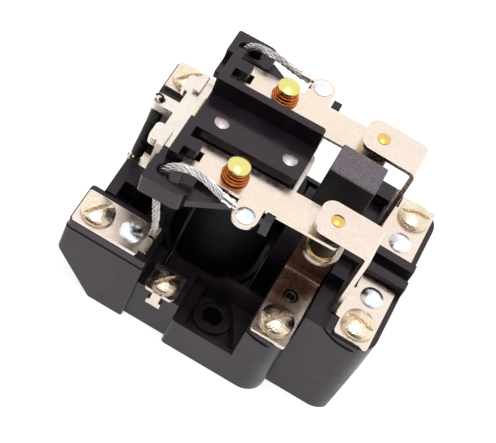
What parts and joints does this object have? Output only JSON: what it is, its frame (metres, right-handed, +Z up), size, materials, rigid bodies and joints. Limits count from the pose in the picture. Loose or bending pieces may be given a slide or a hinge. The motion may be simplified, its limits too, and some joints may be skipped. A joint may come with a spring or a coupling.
{
  "type": "power relay",
  "caption": "Open-frame double-pole double-throw power relay with screw terminals, hinged armature and blow-out magnet.",
  "frame": {"origin": "centre of the base's underside", "axes": "+X from the armature hinge to the normally closed terminals, +Y across the poles, +Z up out of the mounting face"},
  "size_m": [0.0644, 0.0504, 0.0489],
  "materials": {
    "moulding": "satin moulded phenolic",
    "steel": "bright rolled steel",
    "bobbin": "matt moulded",
    "enamelled_wire": "enamelled copper winding",
    "coil_tape": "wound tape",
    "lead_sleeve": "woven sleeve",
    "ferrite": "sintered, rough",
    "nickel_strip": "nickel-plated brass, brushed",
    "contact_strip": "nickel-plated bronze spring strip",
    "contact_silver": "silver alloy",
    "contact_gold": "gold-flashed silver",
    "screw_nickel": "nickel-plated brass, turned",
    "rivet": "headed rivet",
    "eyelet": "dull nickel",
    "spring_black": "black oxide",
    "shim_brass": "thin shim",
    "zinc_pin": "yellow zinc plated",
    "spring_copper": "enamelled copper colour",
    "braid": "tinned braid"
  },
  "bodies": {
    "root": {"base_moulding": "moulding", "magnet_frame": "steel", "core": "steel", "bobbin": "bobbin", "coil_winding": "enamelled_wire", "coil_wrap": "coil_tape", "coil_lead_front": "lead_sleeve", "coil_lead_rear": "lead_sleeve", "frame_screw": "steel", "blowout_magnet": "ferrite", "com_terminal_front": "nickel_strip", "com_terminal_rear": "nickel_strip", "no_terminal_front": "nickel_strip", "no_terminal_rear": "nickel_strip", "nc_terminal_front": "nickel_strip", "nc_terminal_rear": "nickel_strip", "no_contact_front": "contact_silver", "no_contact_rear": "contact_silver", "nc_contact_front": "contact_gold", "nc_contact_rear": "contact_gold", "terminal_screws": "screw_nickel", "terminal_rivets": "rivet", "no_eyelets": "eyelet", "coil_terminal_front": "nickel_strip", "coil_terminal_rear": "nickel_strip", "coil_terminal_screws": "screw_nickel", "spring_anchor": "nickel_strip", "retainer_front": "contact_strip", "retainer_rear": "contact_strip", "return_spring": "spring_black", "braid_front": "braid", "braid_rear": "braid"},
    "armature": {"armature": "steel", "leaf_shim": "shim_brass", "carrier": "moulding", "carrier_rivets": "rivet", "guide_pin_front": "zinc_pin", "guide_pin_rear": "zinc_pin"},
    "arm_front": {"contact_arm_front": "contact_strip", "moving_contact_front": "contact_silver", "overtravel_spring_front": "spring_copper", "braid_rivet_front": "rivet", "ferrule_front": "braid"},
    "arm_rear": {"contact_arm_rear": "contact_strip", "moving_contact_rear": "contact_silver", "overtravel_spring_rear": "spring_copper", "braid_rivet_rear": "rivet", "ferrule_rear": "braid"}
  },
  "joints": [
    {"name": "armature_hinge", "type": "hinge", "parent": "root", "child": "armature", "pos_m": [-0.022, 0, 0.0349], "axis": [0, 1, 0], "range_deg": [0, 5.8], "stiffness_Nm_per_rad": 0.02, "springref_deg": -20.05},
    {"name": "arm_front_rock", "type": "hinge", "parent": "armature", "child": "arm_front", "pos_m": [-0.0163, -0.0118, 0.0411], "axis": [0, 1, 0], "range_deg": [-0.7, 0]},
    {"name": "arm_rear_rock", "type": "hinge", "parent": "armature", "child": "arm_rear", "pos_m": [-0.0163, 0.0118, 0.0411], "axis": [0, 1, 0], "range_deg": [-0.7, 0]}
  ],
  "couplings": [
    {"joint": "arm_front_rock", "follows": "armature_hinge", "ratio": -0.12},
    {"joint": "arm_rear_rock", "follows": "armature_hinge", "ratio": -0.12}
  ]
}
